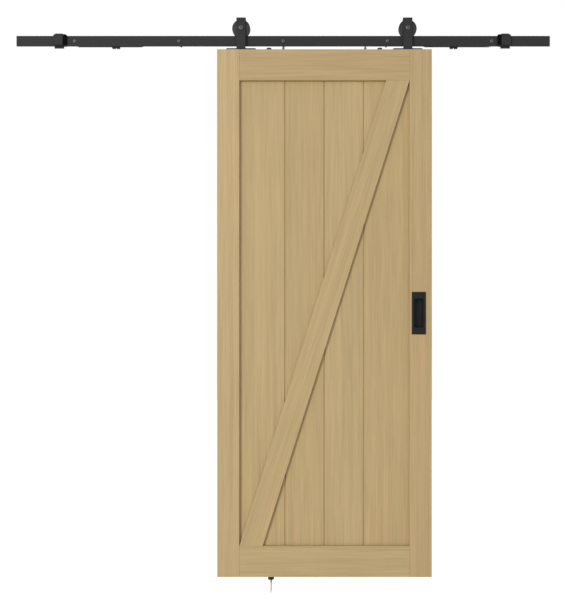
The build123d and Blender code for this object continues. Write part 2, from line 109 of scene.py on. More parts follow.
def add(tree: bpy.types.NodeTree, kind: str, sockets: dict | None = None, **settings: Any) -> bpy.types.Node:
    """Add one shader node with its settings, its socket values and its incoming links.

    Args:
        tree: the node tree that gets the node.
        kind: the node's type name without its ShaderNode prefix.
        sockets: input name or place to a value, or to the output socket that feeds it.
        settings: properties of the node itself.

    Returns:
        The new node.
    """
    node = tree.nodes.new("ShaderNode" + kind)
    for name, value in settings.items():
        setattr(node, name, value)
    feed(tree, node, sockets or {})
    return node


def aimed(place: Vector, target: Vector) -> Triple:
    """Return the turn that points a lamp at a target."""
    return tuple((target - place).to_track_quat("-Z", "Y").to_euler())


# Surfaces worked out on a grid


class Along(Enum):
    """The direction that a turned piece runs in, as its across, up and along unit vectors."""

    LEFT_TO_RIGHT = ((0, 1, 0), (0, 0, 1), (1, 0, 0))
    TO_THE_WALL = ((0, 0, 1), (1, 0, 0), (0, 1, 0))
    TO_THE_ROOM = ((1, 0, 0), (0, 0, 1), (0, -1, 0))
    DOWN = ((0, 1, 0), (1, 0, 0), (0, 0, -1))


def turns(sides: int) -> np.ndarray:
    """Return the angles of one whole turn in equal steps, as one row."""
    return np.linspace(0, 2 * math.pi, sides, endpoint=False)[None, :]


def turned(radius: np.ndarray, along: np.ndarray, centre: Sequence[float], way: Along) -> np.ndarray:
    """Carry a profile round an axis.

    A point is centre + along * axis + radius * (cos(t) * across + sin(t) * up), with t once round.

    Args:
        radius: rows by sides, the distance from the axis.
        along: rows by one, the distance along the axis.
        centre: where the axis starts.
        way: the axis and the two directions square to it.

    Returns:
        Rows by sides by three, in millimetres.
    """
    across, up, axis = (np.array(v, dtype=float) for v in way.value)
    angle = turns(radius.shape[1])[..., None]
    spoke = np.cos(angle) * across + np.sin(angle) * up
    return np.array(centre, dtype=float) + along[..., None] * axis + radius[..., None] * spoke


def lathe(profile: Sequence[Pair], centre: Sequence[float], way: Along, sides: int = 64) -> np.ndarray:
    """Turn a plain profile of (radius, along) pairs about an axis, the same all the way round."""
    rows = np.array(profile, dtype=float)
    return turned(np.repeat(rows[:, :1], sides, axis=1), rows[:, 1:], centre, way)


def hexagon(across_flats: float, sides: int) -> np.ndarray:
    """Return a hexagon's radius round a turn: half its width over the cosine from the nearest flat."""
    sixth = math.pi / 3
    return across_flats / 2 / np.cos(turns(sides) % sixth - sixth / 2)


def arc(start: float, end: float, steps: int = 7) -> np.ndarray:
    """Return angles in degrees from start to end, in radians."""
    return np.radians(np.linspace(start, end, steps))


def bend(middle: Pair, radius: float, start: float, end: float, steps: int = 7) -> np.ndarray:
    """Return the points of a round corner: its middle plus the radius times the angle's cosine and sine.

    Args:
        middle: the centre of the arc.
        radius: the arc's radius.
        start: the first point's angle, in degrees.
        end: the last point's angle.
        steps: how many points it has.

    Returns:
        Steps by two.
    """
    angle = arc(start, end, steps)
    return np.array(middle) + radius * np.stack((np.cos(angle), np.sin(angle)), axis=1)


def ring_profile(half: np.ndarray) -> np.ndarray:
    """Return a ring's closed profile: the front half, its mirror image, and the first point again."""
    return np.concatenate((half, half[::-1] * (1, -1), half[:1]))


def carried(path: np.ndarray, radius: np.ndarray, sides: int = 12) -> np.ndarray:
    """Carry a circle along a level path.

    A point is path(s) + radius(s) * (cos(t) * side(s) + sin(t) * up), where side is level and square
    to the path.

    Args:
        path: rows by three, the circle's centres.
        radius: one for each row, 0 at the two ends so that they close.
        sides: steps round the circle.

    Returns:
        Rows by sides by three.
    """
    heading = np.gradient(path, axis=0)
    side = np.cross(heading, (0, 0, 1))
    side /= np.linalg.norm(side, axis=1, keepdims=True)
    angle = turns(sides)[..., None]
    ring = np.cos(angle) * side[:, None, :] + np.sin(angle) * np.array((0, 0, 1.0))
    return path[:, None, :] + radius[:, None, None] * ring


def piece(
    name: str, grids: Sequence[np.ndarray], finish: "Finish", sharp: float = 32.0, merge: float = 0.002
) -> bpy.types.Object:
    """Make one mesh object from closed grids.

    Each grid closes on itself round its rows. Equal points are merged, which closes poles and ring
    profiles, and then every shell's faces are turned outwards.

    Args:
        name: the piece's name.
        grids: arrays of rows by sides by three, in millimetres.
        finish: the finish that the piece gets.
        sharp: an edge that turns by more degrees than this stays sharp.
        merge: points closer than this, in millimetres, become one.

    Returns:
        The new object, at the origin.
    """
    points, faces, start = [], [], 0
    for grid in grids:
        rows, sides = grid.shape[:2]
        row, side = np.arange(rows - 1)[:, None] * sides, np.arange(sides)[None, :]
        ahead = (side + 1) % sides
        corners = np.broadcast_arrays(row + side, row + ahead, row + sides + ahead, row + sides + side)
        faces.append(start + np.stack(corners, axis=-1).reshape(-1, 4))
        points.append(grid.reshape(-1, 3) * MM)
        start += rows * sides
    mesh = bpy.data.meshes.new(name)
    mesh.from_pydata(np.concatenate(points).tolist(), [], np.concatenate(faces).tolist())
    shape = bmesh.new()
    shape.from_mesh(mesh)
    bmesh.ops.remove_doubles(shape, verts=shape.verts, dist=merge * MM)
    bmesh.ops.recalc_face_normals(shape, faces=shape.faces)
    shape.to_mesh(mesh)
    shape.free()
    mesh.polygons.foreach_set("use_smooth", [True] * len(mesh.polygons))
    mesh.set_sharp_from_angle(angle=math.radians(sharp))
    made = bpy.data.objects.new(name, mesh)
    bpy.context.scene.collection.objects.link(made)
    mesh.materials.append(finish.material())
    log.info("%s: %d faces, %s", name, len(mesh.polygons), finish.name)
    return made


def dress(node: str, finish: "Finish") -> None:
    """Give a CAD node a finish by its material slots, and leave its mesh alone.

    Args:
        node: the node's name in the frame.
        finish: the finish that every slot of the node gets.
    """
    carried_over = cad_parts[node]
    for slot in carried_over.material_slots:
        slot.material = finish.material()
    log.info("%s: CAD solid, %s", node, finish.name)


# Finishes


@dataclass(frozen=True)
class Finish:
    """What every finish has: a name, a colour, how it takes light, and how far its pattern moves it.

    The spread is how much darker and lighter its shades are. A pattern makes it shinier or duller, and
    raises it by a depth in millimetres, at a strength from 0 to 1.
    """

    name: str
    colour: str
    roughness: float
    metallic: float = 0.0
    specular: float = 0.5
    spread: float = 0.0
    shinier: float = 0.0
    duller: float = 0.0
    relief: float = 0.0
    depth: float = 0.0

    def material(self) -> bpy.types.Material:
        """Make the finish's material once.

        Returns:
            The new material, or the one that the same finish made before.
        """
        made = bpy.data.materials.get(self.name)
        if made:
            return made
        made = bpy.data.materials.new(self.name)
        made.use_nodes = True
        made.diffuse_color = linear(self.colour)
        tree = made.node_tree
        tree.nodes.clear()
        plain = {
            "Base Color": linear(self.colour), "Roughness": self.roughness,
            "Metallic": self.metallic, "Specular IOR Level": self.specular,
        }
        shader = add(tree, "BsdfPrincipled", plain)
        feed(tree, shader, self.detail(tree))
        add(tree, "OutputMaterial", {"Surface": shader.outputs["BSDF"]})
        return made

    def detail(self, tree: bpy.types.NodeTree) -> dict[str, Any]:
        """Return the shader inputs that set a finish apart, as `feed` takes them: none on a plain one."""
        return {}

    def grain(
        self, tree: bpy.types.NodeTree, width: float,
        place: bpy.types.NodeSocket | None = None, finer: float = 3.0,
    ) -> bpy.types.NodeSocket:
        """Add an even three-dimensional noise.

        Args:
            tree: the material's node tree.
            width: how wide a grain is, in millimetres.
            place: the coordinates that the noise reads, or None for the object's own.
            finer: how many finer noises lie on the first one.

        Returns:
            The noise, from 0 to 1.
        """
        if place is None:
            place = add(tree, "TexCoord").outputs["Object"]
        noise = add(tree, "TexNoise", {"Vector": place, "Scale": 1 / (width * MM), "Detail": finer})
        return noise.outputs["Fac"]

    def shades(self, tree: bpy.types.NodeTree, amount: bpy.types.NodeSocket) -> bpy.types.NodeSocket:
        """Mix the finish's colour between its darker and its lighter shade.

        Args:
            tree: the material's node tree.
            amount: 0 for the darker shade and 1 for the lighter one.

        Returns:
            The mixed colour.
        """
        darker, lighter = linear(self.colour, 1 - self.spread), linear(self.colour, 1 + self.spread)
        mixed = {MIX_AMOUNT: amount, MIX_FIRST: darker, MIX_SECOND: lighter}
        return add(tree, "Mix", mixed, data_type="RGBA").outputs[MIX_COLOUR]

    def glossed(self, pattern: bpy.types.NodeSocket) -> dict[str, Any]:
        """Return the inputs of a MapRange node that turns a pattern into the finish's roughness."""
        low, high = self.roughness - self.shinier, self.roughness + self.duller
        return {"Value": pattern, "To Min": low, "To Max": high}

    def raised(self, pattern: bpy.types.NodeSocket) -> dict[str, Any]:
        """Return the inputs of a Bump node that turns a pattern into the finish's relief."""
        return {"Height": pattern, "Strength": self.relief, "Distance": self.depth * MM}


@dataclass(frozen=True)
class PlanedPine(Finish):
    """Clear pine, planed, sanded and sealed with a matt varnish: straight pale streaks, warm in places.

    The eye gets fine lines along the board, broader light and dark bands, and a soft dull gloss. A darker
    line of painted shade is laid in each concave corner by an ambient occlusion node.
    Real growth rings of such boards are 1 to 3 mm apart. The picture has a pixel to 3.9 mm, so the
    lines are drawn 4 mm wide, as coarse as they need to be to show.
    A streak is drawn `stretch` times as long as it is wide. Each range is the part of a noise that
    runs from none to all of what it moves.
    """

    specular: float = 0.2
    spread: float = 0.12
    shinier: float = 0.08
    duller: float = 0.1
    relief: float = 0.25
    depth: float = 0.15
    turn: float = 0.0
    shift: Triple = (0.0, 0.0, 0.0)
    stretch: float = 45.0
    line_width: float = 4.0
    band_width: float = 20.0
    band_share: float = 0.45
    tone_range: Pair = (0.34, 0.66)
    warm: str = "#C69A74"
    warm_width: float = 60.0
    warm_range: Pair = (0.52, 0.75)
    warm_most: float = 0.2
    fibre_width: float = 0.9
    # The corner fields set the painted shade in corners: how far it reaches, how dark it gets, and its
    # samples.
    corner_reach: float = 10.0
    corner_shade: float = 0.15
    corner_samples: int = 8

    def detail(self, tree: bpy.types.NodeTree) -> dict[str, Any]:
        """Lay the streaks along the board by a Mapping node, and let them move tone, gloss and relief.

        Args:
            tree: the material's node tree.

        Returns:
            The colour with its painted corner shade, the roughness and the relief of the fibres.
        """
        place = add(tree, "TexCoord").outputs["Object"]
        upright = (0, self.turn, 0)
        laid = add(tree, "Mapping", {"Vector": place, "Location": self.shift, "Rotation": upright})
        drawn = add(tree, "Mapping", {"Vector": laid.outputs[0], "Scale": (1, 1, 1 / self.stretch)})
        board = drawn.outputs[0]
        lines = self.grain(tree, self.line_width, board)
        bands = self.grain(tree, self.band_width, board, finer=2.0)
        fibres = self.grain(tree, self.fibre_width, board, finer=2.0)
        cast = self.grain(tree, self.warm_width, board, finer=1.0)
        both = add(tree, "Mix", {"Factor": self.band_share, "A": lines, "B": bands})
        low, high = self.tone_range
        tone = add(tree, "MapRange", {"Value": both.outputs[0], "From Min": low, "From Max": high})
        shade = self.shades(tree, tone.outputs[0])
        low, high = self.warm_range
        blush = add(
            tree, "MapRange", {"Value": cast, "From Min": low, "From Max": high, "To Max": self.warm_most}
        )
        mixed = {MIX_AMOUNT: blush.outputs[0], MIX_FIRST: shade, MIX_SECOND: linear(self.warm)}
        colour = add(tree, "Mix", mixed, data_type="RGBA").outputs[MIX_COLOUR]
        # Painted shade: the colour is scaled down where an ambient occlusion node finds other surfaces near,
        # in corners and recesses.
        reach = self.corner_reach * MM
        open_air = add(tree, "AmbientOcclusion", {"Distance": reach}, samples=self.corner_samples)
        painted_shade_factor = add(
            tree, "MapRange",
            {"Value": open_air.outputs["AO"], "To Min": 1 - self.corner_shade, "To Max": 1.0},
        )
        colour_with_painted_shade = add(tree, "VectorMath", {0: colour, "Scale": painted_shade_factor.outputs[0]}, operation="SCALE")
        gloss = add(tree, "MapRange", self.glossed(fibres))
        relief = add(tree, "Bump", self.raised(fibres))
        return {
            "Base Color": colour_with_painted_shade.outputs[0], "Roughness": gloss.outputs[0], "Normal": relief.outputs[0],
        }


@dataclass(frozen=True)
class PowderCoat(Finish):
    """Steel with a fine-textured black powder coat, baked on.

    The eye gets a matt charcoal with an orange-peel grain under a millimetre wide. Its edges and corners
    are painted darker, as painted shade. The peel keeps its real width. The clouds of shade, 40 peels wide,
    and the painted corner shade, 2.4 mm wide, are drawn as coarse as they need to be to show.
    The painted shade starts and is full where the softened normal's cosine with the flat one falls to the
    two values of `corner_match`.
    """

    specular: float = 0.2
    spread: float = 0.12
    relief: float = 0.35
    depth: float = 0.12
    peel_width: float = 0.9
    peels_to_a_cloud: float = 40.0
    cloud_share: float = 0.5
    # The corner fields set the painted shade on edges and corners: its width, darkness, onset, strength and
    # samples.
    corner_width: float = 2.4
    corner_gain: float = 0.5
    corner_match: Pair = (0.98, 0.8)
    corner_most: float = 0.9
    corner_samples: int = 4

    def detail(self, tree: bpy.types.NodeTree) -> dict[str, Any]:
        """Let the grain move shade and relief, and paint shade on the corners by the turn of a softened
        normal.

        Args:
            tree: the material's node tree.

        Returns:
            The colour with its painted corner shade, and the relief of the peel on the softened normal.
        """
        peel = self.grain(tree, self.peel_width)
        cloud = self.grain(tree, self.peels_to_a_cloud * self.peel_width)
        bevel = add(tree, "Bevel", {"Radius": self.corner_width * MM}, samples=self.corner_samples)
        soft = bevel.outputs[0]
        flat = add(tree, "NewGeometry").outputs["Normal"]
        match = add(tree, "VectorMath", {0: soft, 1: flat}, operation="DOT_PRODUCT").outputs["Value"]
        start, full = self.corner_match
        painted_edge_shade = add(
            tree, "MapRange",
            {"Value": match, "From Min": start, "From Max": full, "To Max": self.corner_most},
        )
        both = add(tree, "Mix", {"Factor": self.cloud_share, "A": peel, "B": cloud})
        shade = self.shades(tree, both.outputs[0])
        # Painted shade: edges and corners are mixed towards a darker copy of the coat's colour.
        darker = linear(self.colour, self.corner_gain)
        mixed = {MIX_AMOUNT: painted_edge_shade.outputs[0], MIX_FIRST: shade, MIX_SECOND: darker}
        edge = add(tree, "Mix", mixed, data_type="RGBA")
        relief = add(tree, "Bump", self.raised(peel) | {"Normal": soft})
        return {"Base Color": edge.outputs[MIX_COLOUR], "Normal": relief.outputs[0]}


@dataclass(frozen=True)
class BlackOxide(Finish):
    """Machined steel with a black oxide: a dark metal that keeps its tool marks and a soft highlight.

    The marks keep their real width, and the clouds of shade are 12 marks wide, so that they show.
    """

    metallic: float = 0.55
    spread: float = 0.18
    shinier: float = 0.08
    duller: float = 0.12
    relief: float = 0.2
    depth: float = 0.03
    mark_width: float = 0.35
    marks_to_a_cloud: float = 12.0

    def detail(self, tree: bpy.types.NodeTree) -> dict[str, Any]:
        """Let fine marks move the gloss, and clouds the shade.

        Args:
            tree: the material's node tree.

        Returns:
            The clouded colour, the roughness and the relief of the marks.
        """
        marks = self.grain(tree, self.mark_width)
        cloud = self.grain(tree, self.marks_to_a_cloud * self.mark_width)
        gloss = add(tree, "MapRange", self.glossed(marks))
        relief = add(tree, "Bump", self.raised(marks))
        return {
            "Base Color": self.shades(tree, cloud),
            "Roughness": gloss.outputs[0], "Normal": relief.outputs[0],
        }


@dataclass(frozen=True)
class ZincPlate(Finish):
    """Zinc-plated steel: a mid grey metal with faint cloudy crystals about 2 mm across."""

    metallic: float = 1.0
    spread: float = 0.15
    shinier: float = 0.06
    duller: float = 0.1
    crystal_width: float = 2.0

    def detail(self, tree: bpy.types.NodeTree) -> dict[str, Any]:
        """Let the crystals move shade and gloss.

        Args:
            tree: the material's node tree.

        Returns:
            The colour and the roughness.
        """
        crystals = self.grain(tree, self.crystal_width, finer=1.0)
        gloss = add(tree, "MapRange", self.glossed(crystals))
        return {"Base Color": self.shades(tree, crystals), "Roughness": gloss.outputs[0]}


@dataclass(frozen=True)
class MouldedNylon(Finish):
    """Injection-moulded nylon from a spark-eroded mould: an even skin with a fine frosted grain.

    The frost keeps its real width, and the clouds of shade are 25 grains wide, so that they show.
    """

    spread: float = 0.08
    relief: float = 0.3
    depth: float = 0.05
    frost_width: float = 0.4
    frosts_to_a_cloud: float = 25.0
    glow: float = 0.0
    glow_reach: float = 1.5

    def detail(self, tree: bpy.types.NodeTree) -> dict[str, Any]:
        """Let the frost move the relief, and clouds the shade. A pale nylon also lets a little light in.

        Args:
            tree: the material's node tree.

        Returns:
            The colour, the relief of the frost, and how much light goes in and how far.
        """
        frost = self.grain(tree, self.frost_width)
        cloud = self.grain(tree, self.frosts_to_a_cloud * self.frost_width)
        relief = add(tree, "Bump", self.raised(frost))
        return {
            "Base Color": self.shades(tree, cloud), "Normal": relief.outputs[0],
            "Subsurface Weight": self.glow, "Subsurface Scale": self.glow_reach * MM,
        }


@dataclass(frozen=True)
class MouldedRubber(Finish):
    """Moulded black rubber: dull, a little dusty, with pebbles about a millimetre across in its skin."""

    specular: float = 0.08
    spread: float = 0.25
    relief: float = 0.4
    depth: float = 0.08
    pebble_width: float = 1.1

    def detail(self, tree: bpy.types.NodeTree) -> dict[str, Any]:
        """Make pebbles of the cells of a Voronoi pattern, with dust between them.

        Args:
            tree: the material's node tree.

        Returns:
            The dusty colour and the relief of the pebbles.
        """
        place = add(tree, "TexCoord").outputs["Object"]
        cells = add(tree, "TexVoronoi", {"Vector": place, "Scale": 1 / (self.pebble_width * MM)})
        away = cells.outputs["Distance"]
        relief = add(tree, "Bump", self.raised(away), invert=True)
        return {"Base Color": self.shades(tree, away), "Normal": relief.outputs[0]}


def seen_directly(tree: bpy.types.NodeTree) -> bpy.types.NodeSocket:
    """Tell the rays that see a surface from those that only carry light.

    Args:
        tree: the node tree of a material or of the world.

    Returns:
        1 for a camera, glossy or transmission ray, and 0 for any other.
    """
    ray = add(tree, "LightPath").outputs
    shiny = add(tree, "Math", {0: ray["Is Glossy Ray"], 1: ray["Is Transmission Ray"]}, operation="MAXIMUM")
    return add(tree, "Math", {0: ray["Is Camera Ray"], 1: shiny.outputs[0]}, operation="MAXIMUM").outputs[0]


@dataclass(frozen=True)
class StudioFloor(Finish):
    """A white studio sweep. Seen directly or in a reflection it is white, and it keeps the shadow."""

    spread: float = 0.02
    sweep_width: float = 400.0
    own_light: float = 0.86

    def detail(self, tree: bpy.types.NodeTree) -> dict[str, Any]:
        """Add the floor's own light for camera, glossy and transmission rays alone.

        Args:
            tree: the material's node tree.

        Returns:
            The floor's colour, and the colour and strength of its own light.
        """
        sweep = self.grain(tree, self.sweep_width, finer=1.0)
        lit = add(tree, "Math", {0: seen_directly(tree), 1: self.own_light}, operation="MULTIPLY")
        return {
            "Base Color": self.shades(tree, sweep),
            "Emission Color": linear("#FFFFFF"), "Emission Strength": lit.outputs[0],
        }


RAIL_COAT = PowderCoat("powder_coated_steel", "#2C2C2C", 0.62)
PULL_COAT = PowderCoat("powder_coated_zinc_casting", "#171615", 0.6, peel_width=0.6)
BOLT_OXIDE = BlackOxide("black_oxide_steel", "#505050", 0.34)
PIN_ZINC = ZincPlate("zinc_plated_steel", "#7C7C7C", 0.42)
WHEEL_NYLON = MouldedNylon("moulded_black_nylon", "#1E1E1F", 0.45)
HOUSING_NYLON = MouldedNylon("moulded_black_nylon_housing", "#232324", 0.5)
PLUG_NYLON = MouldedNylon("moulded_pale_nylon", "#D9D7D0", 0.5, glow=0.15)
STOP_RUBBER = MouldedRubber("moulded_rubber", "#060606", 0.85)
FLOOR_PAPER = StudioFloor("white_studio_floor", "#E6E6E6", 0.8)


# Fasteners


@dataclass(frozen=True)
class Thread:
    """A thread on a screw: where it starts and ends along the shank, and its pitch and depth."""

    start: float
    end: float
    pitch: float
    depth: float
    rows_to_a_pitch: int = 8

    def rows(self, crest: float, sides: int) -> tuple[np.ndarray, np.ndarray]:
        """Return the thread's radius and distance along the screw.

        The radius is the root plus the depth times a triangle wave of (distance / pitch - turn / 2 pi),
        faded in over the first pitch and out over the last, so that it meets the plain shank.

        Args:
            crest: the thread's outer radius.
            sides: steps round the screw.

        Returns:
            Radius, rows by sides, and distance along, rows by one.
        """
        along = np.arange(self.start, self.end, self.pitch / self.rows_to_a_pitch)[:, None]
        wave = np.abs(2 * ((along / self.pitch - turns(sides) / (2 * math.pi)) % 1) - 1)
        fade = np.clip(np.minimum(along - self.start, self.end - along) / self.pitch, 0, 1)
        return crest - self.depth * (1 - wave) * fade, along


@dataclass(frozen=True)
class Socket:
    """A hexagon socket with a drilled floor and a flared mouth."""

    across_flats: float
    depth: float
    drilled: float = 0.4
    mouth_depth: float = 0.25
    mouth_flare: float = 1.06

    def rows(self, sides: int) -> list[tuple[np.ndarray, float]]:
        """Return the socket from the middle of its floor to its mouth.

        Args:
            sides: steps round the socket.

        Returns:
            Pairs of the radius round the turn and the depth.
        """
        wall = hexagon(self.across_flats, sides)
        floor = [(0 * wall, self.depth + self.drilled), (wall, self.depth)]
        return floor + [(wall, self.mouth_depth), (wall * self.mouth_flare, 0.0)]


class Head(Enum):
    """The form of a screw's head."""

    DOMED = "domed"
    COUNTERSUNK = "countersunk"


@dataclass(frozen=True)
class SocketScrew:
    """A screw as one closed surface, from its socket's floor over the head to its point.

    A dome is part of an ellipse, `dome_share` of the head high, from `dome_start` degrees off its top.
    The point has a shoulder: its share of the shank's radius, and of the point's length from the end.
    """

    head_radius: float
    head_height: float
    socket: Socket
    shank_radius: float
    length: float
    thread: Thread
    point: float = 1.0
    form: Head = Head.DOMED
    sides: int = 48
    rim: float = 0.3
    dome_start: float = 35.0
    dome_share: float = 0.8
    shoulder: Pair = (0.55, 0.4)

    def head(self) -> np.ndarray:
        """Work out the head's profile, from its crown to the shank.

        Returns:
            Rows of (radius, distance from the crown).
        """
        wide, height, rim = self.head_radius, self.head_height, self.rim
        neck = (self.shank_radius, height)
        if self.form is Head.COUNTERSUNK:
            return np.array([(wide, 0.0), (wide, rim), neck])
        dome = arc(self.dome_start, 90, steps=9)
        rise = height * self.dome_share
        crown = np.stack((wide * np.sin(dome), rise * (1 - np.cos(dome))), axis=1)
        crown[:, 1] -= crown[0, 1]
        return np.concatenate((crown, [(wide, height - rim), (wide - rim, height), neck]))

    def surface(self, crown: Sequence[float], way: Along) -> np.ndarray:
        """Return the whole screw.

        Rows run from the middle of the socket's floor, out to its walls, whose radius round the turn is
        a hexagon's, over the head, down the shank and its thread, and in to the point.

        Args:
            crown: the middle of the head's top.
            way: the direction from head to point.

        Returns:
            A closed grid, in millimetres.
        """
        full = np.ones((1, self.sides))
        top = self.socket.rows(self.sides) + [(r * full, d) for r, d in self.head()]
        radius, along = self.thread.rows(self.shank_radius, self.sides)
        share, back = self.shoulder
        tip = [
            (radius[-1:], self.thread.end),
            (radius[-1:] * share, self.length - self.point * back),
            (0 * full, self.length),
        ]
        radii = np.concatenate([r for r, _ in top] + [radius] + [r for r, _ in tip])
        steps = np.concatenate([[d for _, d in top], along[:, 0], [d for _, d in tip]])
        return turned(radii, steps[:, None], crown, way)


def washer(
    outer: float, bore: float, ends: Pair, centre: Sequence[float], way: Along, soft: float = 0.4
) -> np.ndarray:
    """Return a flat ring with broken rims, its profile closed on itself.

    Args:
        outer: the outer radius.
        bore: the bore's radius.
        ends: where it starts and ends along the axis.
        centre: where the axis starts.
        way: the axis.
        soft: how much is broken off a rim, at most a quarter of the ring's length.

    Returns:
        A closed grid, in millimetres.
    """
    start, end = ends
    soft = min(soft, (end - start) / 4)
    profile = [
        (bore, start), (outer - soft, start), (outer, start + soft), (outer, end - soft),
        (outer - soft, end), (bore, end), (bore, start),
    ]
    return lathe(profile, centre, way)


def hexagon_nut(
    across_flats: float, bore: float, ends: Pair, centre: Sequence[float], way: Along
) -> np.ndarray:
    """Return a nut: its radius is the lesser of the hexagon and a 30 degree cone at each face.

    Args:
        across_flats: the hexagon's width.
        bore: the bore's radius.
        ends: where it starts and ends along the axis.
        centre: where the axis starts.
        way: the axis.

    Returns:
        A closed grid, in millimetres.
    """
    sides, rows, face_share, cone = 60, 15, 0.97, math.radians(30)
    start, end = ends
    flats = hexagon(across_flats, sides)
    steps = np.concatenate(([start], np.linspace(start, end, rows), [end]))[:, None]
    from_face = np.minimum(steps - start, end - steps)
    radius = np.minimum(flats, across_flats / 2 * face_share + from_face / math.tan(cone))
    radius[0], radius[-1] = bore, bore
    radius, steps = np.concatenate((radius, radius[:1])), np.concatenate((steps, steps[:1]))
    return turned(radius, steps, centre, way)


# Sub-assemblies


@dataclass
class WallRail:
    """The flat rail on the wall, with its bolts, spacers, stops and soft-close housings."""

    bolt_pitch: float = 405.0
    bolt_count: int = 5
    rail_front: float = 36.0
    rail_top: float = 20.0
    spacer_length: float = 30.0
    spacer_radius: float = 11.4
    bore_radius: float = 4.15
    anchor_length: float = 40.0
    stop_middles: Pair = (-872.0, 864.0)
    stop_top: float = 25.7
    stop_screw_depth: float = 41.0
    stop_screw_proud: float = 0.5
    damper_depth: float = 20.0
    damper_height: float = -5.5
    damper_radius: float = 4.4
    damper_ends: Pair = (668.0, 788.0)
    cap_lengths: Pair = (6.0, 8.0)
    cap_step: float = 0.5
    rod_radius: float = 1.6
    rod_overlap: float = 1.0
    catch_ends: Pair = (645.4, 657.4)
    buffer_starts: Pair = (-854.0, 846.0)
    buffer_length: float = 14.0
    buffer_front: float = 44.8
    buffer_back: float = 25.2
    buffer_top: float = 24.5
    buffer_soft: float = 2.6
    buffer_gap: float = 0.1
    inner_soft: float = 0.2
    cheek_bottom: float = -15.3
    tail_bottom: float = -19.4
    nose_run: float = 9.0
    nose_drop: float = 3.6

    def bolt_places(self) -> np.ndarray:
        """Return the bolts' places along the rail."""
        return (np.arange(self.bolt_count) - (self.bolt_count - 1) / 2) * self.bolt_pitch

    def bolts(self) -> None:
        """Replace the wall bolts by lag bolts: a domed socket head, a plain neck and a coarse thread."""
        head_height, point = 3.8, 8.0
        neck = head_height + self.rail_front
        length = neck + self.anchor_length
        bolt = SocketScrew(
            head_radius=7.0, head_height=head_height, socket=Socket(across_flats=4.0, depth=1.2),
            shank_radius=4.0, length=length, point=point,
            thread=Thread(start=neck, end=length - point, pitch=3.4, depth=1.0),
        )
        crown = -self.rail_front - head_height
        grids = [bolt.surface((x, crown, 0), Along.TO_THE_WALL) for x in self.bolt_places()]
        made = piece("lag_bolts", grids, BOLT_OXIDE)
        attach(made, "track")
        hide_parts("wall_bolts")

    def spacers(self) -> None:
        """Replace the spacers by turned tubes whose rims are broken."""
        ends = (0.0, self.spacer_length)
        grids = [
            washer(self.spacer_radius, self.bore_radius, ends, (x, 0, 0), Along.TO_THE_ROOM)
            for x in self.bolt_places()
        ]
        made = piece("spacer_tubes", grids, RAIL_COAT)
        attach(made, "track")
        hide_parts("wall_spacers")

    def stop_screws(self) -> None:
        """Add the set screw that clamps each end stop, let into its top and a little proud."""
        screw = SocketScrew(
            head_radius=3.0, head_height=0.6, socket=Socket(across_flats=3.0, depth=0.4),
            shank_radius=2.9, length=3.0, form=Head.COUNTERSUNK,
            thread=Thread(start=0.5, end=2.0, pitch=1.0, depth=0.1),
        )
        crown = self.stop_top + self.stop_screw_proud
        grids = [screw.surface((x, -self.stop_screw_depth, crown), Along.DOWN) for x in self.stop_middles]
        made = piece("stop_set_screws", grids, BOLT_OXIDE)
        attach(made, "track")

    def hook(self, ends: tuple[Pair, Pair], top: float, soft: float) -> np.ndarray:
        """Return a line up the front cheek, over the rail and down the tail, with two quarter circles.

        Args:
            ends: the cheek's lower end and the tail's, as how far into the room and how high.
            top: how high the line crosses the rail.
            soft: the radius of its two upper corners.

        Returns:
            Points by two, into the room and up.
        """
        cheek, tail = ends
        near = bend((cheek[0] - soft, top - soft), soft, 0, 90, steps=6)
        far = bend((tail[0] + soft, top - soft), soft, 90, 180, steps=6)
        return np.concatenate(([cheek], near, far, [tail]))

    def buffer_ring(self, along: float, drop: float, closed: float) -> np.ndarray:
        """Return one ring of a rubber buffer: a hook over the rail, seen along the rail.

        At the nose the outer line is drawn in by the drop at its front and its top, by a third of it at
        its back, and by half of it at its lower ends and corners. The inner line keeps a small gap off
        the rail. Their points pair up, and a closed ring has both at the mean of the pair.

        Args:
            along: how far the ring is from the stop.
            drop: how far the outer line is drawn in at the nose.
            closed: 0 for the full ring and 1 for the closed one.

        Returns:
            Sides by three, with the distance along first.
        """
        half, gap = drop / 2, self.buffer_gap
        cheek = (self.buffer_front - drop, self.cheek_bottom + half)
        tail = (self.buffer_back + drop / 3, self.tail_bottom + half)
        outer = self.hook((cheek, tail), self.buffer_top - drop, self.buffer_soft - half)
        inner_ends = ((self.rail_front + gap, cheek[1]), (self.spacer_length - gap, tail[1]))
        inner = self.hook(inner_ends, self.rail_top + gap, self.inner_soft)
        middle = (outer + inner) / 2
        outer, inner = outer + closed * (middle - outer), inner + closed * (middle - inner)
        ring = np.concatenate((outer, inner[::-1]))
        return np.column_stack((np.full(len(ring), along), -ring[:, 0], ring[:, 1]))

    def buffers(self) -> None:
        """Replace the bumpers by moulded buffers, each with a quarter ellipse as its nose."""
        rows = [self.buffer_ring(0.0, 0.0, 1.0), self.buffer_ring(0.0, 0.0, 0.0)]
        for turn in arc(0, 90, steps=9):
            along = self.buffer_length - self.nose_run * (1 - math.sin(turn))
            rows.append(self.buffer_ring(along, self.nose_drop * (1 - math.cos(turn)), 0.0))
        rows.append(self.buffer_ring(self.buffer_length, self.nose_drop, 1.0))
        shape = np.array(rows)
        for (side, sign), start in zip(SIDES.items(), self.buffer_starts):
            placed = shape * (-sign, 1, 1) + (start, 0, 0)
            made = piece(f"{side}_moulded_buffer", [placed], STOP_RUBBER, sharp=40.0)
            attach(made, "track")
            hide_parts(f"{side}_bumper")

